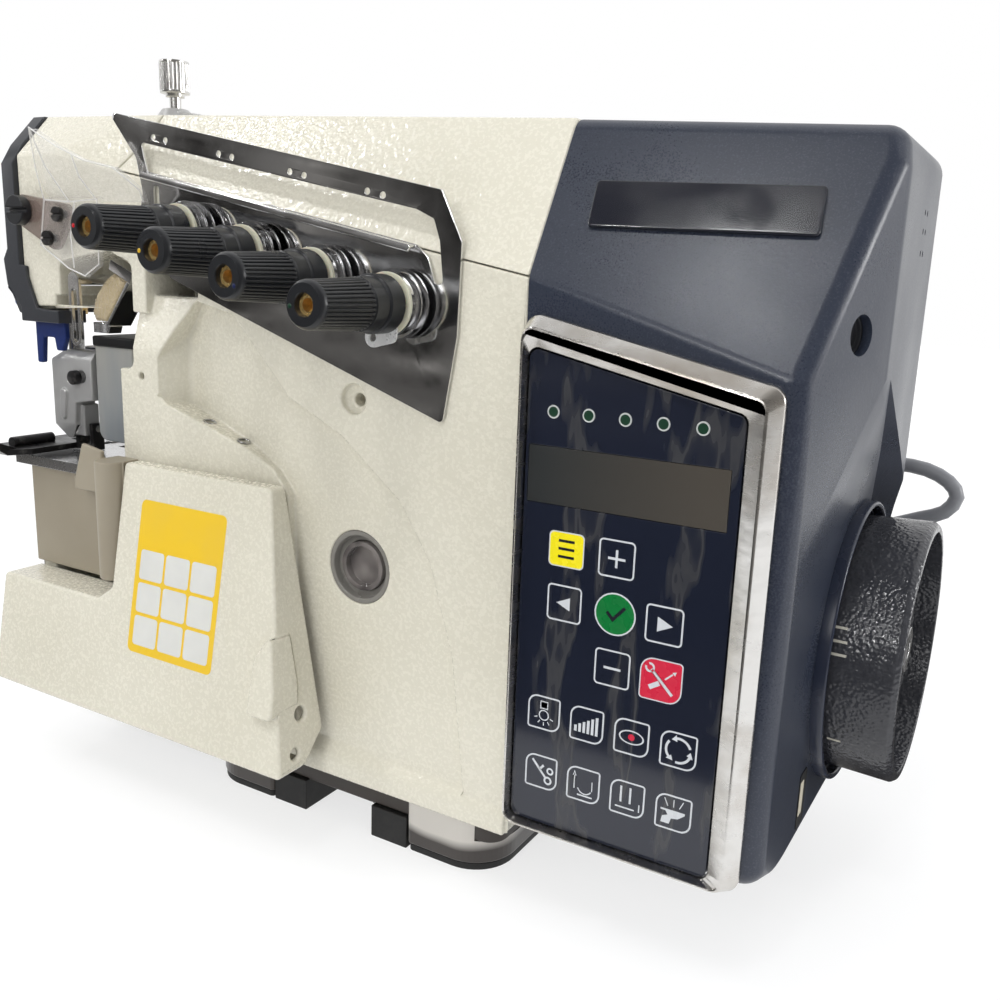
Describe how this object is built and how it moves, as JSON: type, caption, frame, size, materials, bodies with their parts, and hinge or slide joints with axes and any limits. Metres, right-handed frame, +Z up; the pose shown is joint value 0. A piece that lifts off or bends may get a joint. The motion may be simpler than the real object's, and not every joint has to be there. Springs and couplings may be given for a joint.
{
  "type": "overlock sewing machine",
  "caption": "Industrial overlock sewing machine head with cast body, arm over a needle plate, thread tension knobs, hinged looper cover, control panel and direct-drive handwheel.",
  "frame": {"origin": "centre of the four feet's footprint, on the surface they stand on", "axes": "+X along the machine from the needle to the handwheel, -Y towards the operator, +Z up"},
  "size_m": [0.3823, 0.2227, 0.3074],
  "materials": {
    "cream_paint": "fine textured satin enamel",
    "slate_paint": "speckled satin enamel",
    "wheel_paint": "wrinkled gloss enamel",
    "dark_plastic": "matte",
    "black_plastic": "satin",
    "gloss_black": "domed gloss",
    "keypad_film": "printed gloss film",
    "display": "unlit display",
    "grey_plastic": "satin",
    "washer_plastic": "satin",
    "taupe_plastic": "satin",
    "blue_plastic": "gloss",
    "clouded_plastic": "clouded translucent",
    "clear_plastic": "clear moulded plastic",
    "tinted_plastic": "smoked clear plastic",
    "chrome": "polished plating",
    "bright_steel": "ground",
    "black_steel": "blackened",
    "grey_casting": "die-cast, as cast",
    "dark_iron": "varnished laminations",
    "brass": "machined",
    "rubber": "matte",
    "felt": "oiled felt",
    "cable_sheath": "satin sheath"
  },
  "bodies": {
    "machine": {"body_casting": "cream_paint", "top_cover": "cream_paint", "rear_plate": "cream_paint", "end_cover": "dark_plastic", "end_housing": "slate_paint", "housing_back": "slate_paint", "base_pan": "dark_plastic", "foot_castings": "grey_casting", "rubber_feet": "rubber", "control_frame": "chrome", "keypad": "keypad_film", "display_window": "display", "badge_plate": "gloss_black", "side_plug": "dark_plastic", "sight_ring": "grey_plastic", "sight_lens": "clear_plastic", "tension_plate": "chrome", "tension_posts": "bright_steel", "tension_springs": "bright_steel", "tension_discs": "chrome", "tension_washers": "washer_plastic", "thread_eyelets": "chrome", "motor_stator": "dark_iron", "shaft_bearings": "bright_steel", "needle_bar_bushes": "brass", "presser_pin": "bright_steel", "pressure_boss": "grey_casting", "needle_plate": "bright_steel", "looper_pins": "bright_steel", "thumb_screw": "black_plastic", "felt_wiper": "felt", "wiper_bracket": "chrome", "oil_tank": "clouded_plastic", "chip_guard": "taupe_plastic", "cable": "cable_sheath", "cable_glands": "dark_plastic"},
    "wheel": {"handwheel": "wheel_paint", "main_shaft": "bright_steel", "wheel_bolt": "bright_steel", "motor_rotor": "dark_iron"},
    "knob_1": {"tension_knob_1": "black_plastic"},
    "knob_2": {"tension_knob_2": "black_plastic"},
    "knob_3": {"tension_knob_3": "black_plastic"},
    "knob_4": {"tension_knob_4": "black_plastic"},
    "cover_carrier": {"cover_pin": "bright_steel"},
    "cover": {"looper_cover": "cream_paint"},
    "guard": {"eye_guard": "clear_plastic", "guard_arm": "tinted_plastic", "guard_screws": "black_steel"},
    "needle_unit": {"needle_bar": "bright_steel", "needle_clamp": "bright_steel", "needles": "bright_steel"},
    "presser": {"presser_arm": "grey_casting", "foot_pin": "bright_steel"},
    "foot": {"presser_foot": "black_steel"},
    "feed": {"feed_dog": "bright_steel"},
    "looper_upper": {"upper_looper": "bright_steel"},
    "looper_lower": {"lower_looper": "bright_steel"},
    "pressure_screw": {"pressure_knob": "chrome"},
    "lever": {"release_lever": "blue_plastic"}
  },
  "joints": [
    {"name": "main_shaft_turn", "type": "hinge", "parent": "machine", "child": "wheel", "pos_m": [0.18, 0.031, 0.0945], "axis": [1, 0, 0], "continuous": true},
    {"name": "tension_dial_1", "type": "hinge", "parent": "machine", "child": "knob_1", "pos_m": [-0.0545, -0.1, 0.234], "axis": [0, 1, 0], "range_deg": [-540, 540]},
    {"name": "tension_dial_2", "type": "hinge", "parent": "machine", "child": "knob_2", "pos_m": [-0.0227, -0.1, 0.2269], "axis": [0, 1, 0], "range_deg": [-540, 540]},
    {"name": "tension_dial_3", "type": "hinge", "parent": "machine", "child": "knob_3", "pos_m": [0.0091, -0.1, 0.2198], "axis": [0, 1, 0], "range_deg": [-540, 540]},
    {"name": "tension_dial_4", "type": "hinge", "parent": "machine", "child": "knob_4", "pos_m": [0.0409, -0.1, 0.2127], "axis": [0, 1, 0], "range_deg": [-540, 540]},
    {"name": "cover_shift", "type": "slide", "parent": "machine", "child": "cover_carrier", "axis": [1, 0, 0], "range_m": [0, 0.006]},
    {"name": "cover_fold", "type": "hinge", "parent": "cover_carrier", "child": "cover", "pos_m": [-0.066, -0.077, 0.047], "axis": [1, 0, 0], "range_deg": [0, 70]},
    {"name": "guard_swing", "type": "hinge", "parent": "machine", "child": "guard", "pos_m": [-0.152, -0.072, 0.242], "axis": [0, -1, 0], "range_deg": [0, 90]},
    {"name": "needle_bar_stroke", "type": "slide", "parent": "machine", "child": "needle_unit", "axis": [0, 0, 1], "range_m": [-0.012, 0.014]},
    {"name": "presser_lift", "type": "hinge", "parent": "machine", "child": "presser", "pos_m": [-0.136, 0.01, 0.182], "axis": [-1, 0, 0], "range_deg": [0, 7]},
    {"name": "foot_tilt", "type": "hinge", "parent": "presser", "child": "foot", "pos_m": [-0.1445, -0.0525, 0.149], "axis": [1, 0, 0], "range_deg": [-3, 2.5]},
    {"name": "feed_travel", "type": "slide", "parent": "machine", "child": "feed", "axis": [0, 1, 0], "range_m": [-0.0015, 0.0015]},
    {"name": "upper_looper_swing", "type": "hinge", "parent": "machine", "child": "looper_upper", "pos_m": [-0.112, -0.041, 0.076], "axis": [0, 1, 0], "range_deg": [-12, 12]},
    {"name": "lower_looper_swing", "type": "hinge", "parent": "machine", "child": "looper_lower", "pos_m": [-0.062, -0.041, 0.076], "axis": [0, 1, 0], "range_deg": [-12, 12]},
    {"name": "pressure_adjust", "type": "hinge", "parent": "machine", "child": "pressure_screw", "pos_m": [-0.118, -0.02, 0.3], "axis": [0, 0, 1], "range_deg": [-720, 720]},
    {"name": "lever_swing", "type": "hinge", "parent": "machine", "child": "lever", "pos_m": [-0.175, -0.05, 0.22], "axis": [1, 0, 0], "range_deg": [0, 40]}
  ]
}
